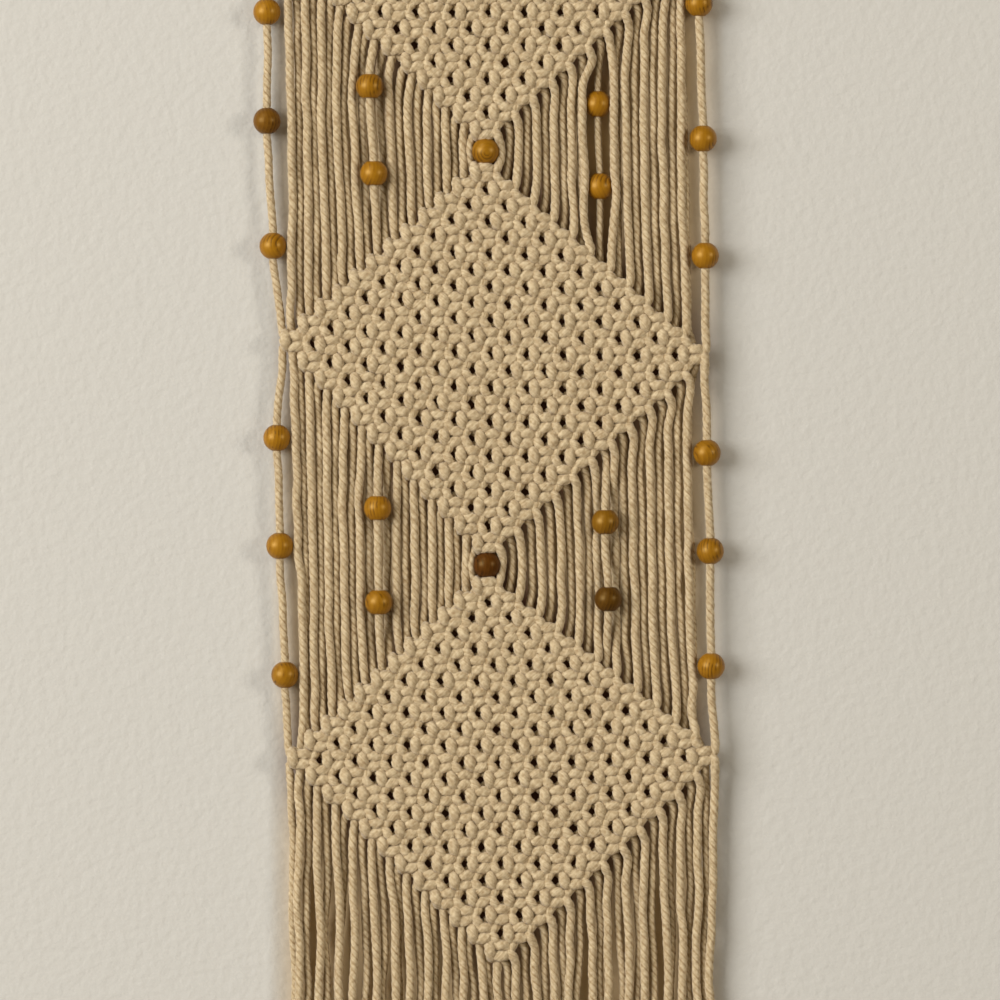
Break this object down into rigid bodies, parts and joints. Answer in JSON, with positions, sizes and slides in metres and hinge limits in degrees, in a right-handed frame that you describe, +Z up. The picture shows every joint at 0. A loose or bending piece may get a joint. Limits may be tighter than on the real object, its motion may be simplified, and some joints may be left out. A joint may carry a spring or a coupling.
{
  "type": "macrame wall hanging",
  "caption": "Macrame wall hanging of twisted cotton cord: diamond nets of square knots one below another, bare cords with round wooden beads between them, and a cut fringe.",
  "frame": {"origin": "middle of the top edge, where the cords fold over the holding cord and the hanging is held up", "axes": "+Z up along the cords, -Y out of the front that is looked at, +Y towards the wall, X across"},
  "size_m": [0.2065, 0.0185, 0.578],
  "materials": {
    "cotton": "matt three-ply twisted cotton cord",
    "wood_honey": "varnished honey wood",
    "wood_brown": "varnished brown wood",
    "wood_dark": "varnished dark reddish-brown wood"
  },
  "bodies": {
    "root": {"macrame": "cotton", "bead_left_1": "wood_honey", "bead_left_2": "wood_brown", "bead_left_3": "wood_honey", "bead_left_4": "wood_honey", "bead_left_5": "wood_honey", "bead_left_6": "wood_honey", "bead_right_1": "wood_honey", "bead_right_2": "wood_honey", "bead_right_3": "wood_honey", "bead_right_4": "wood_honey", "bead_right_5": "wood_honey", "bead_right_6": "wood_honey", "bead_inner_left_1": "wood_honey", "bead_inner_left_2": "wood_honey", "bead_inner_left_3": "wood_honey", "bead_inner_left_4": "wood_honey", "bead_inner_right_1": "wood_honey", "bead_inner_right_2": "wood_honey", "bead_inner_right_3": "wood_honey", "bead_inner_right_4": "wood_brown", "bead_middle_1": "wood_honey", "bead_middle_2": "wood_dark"}
  },
  "joints": []
}
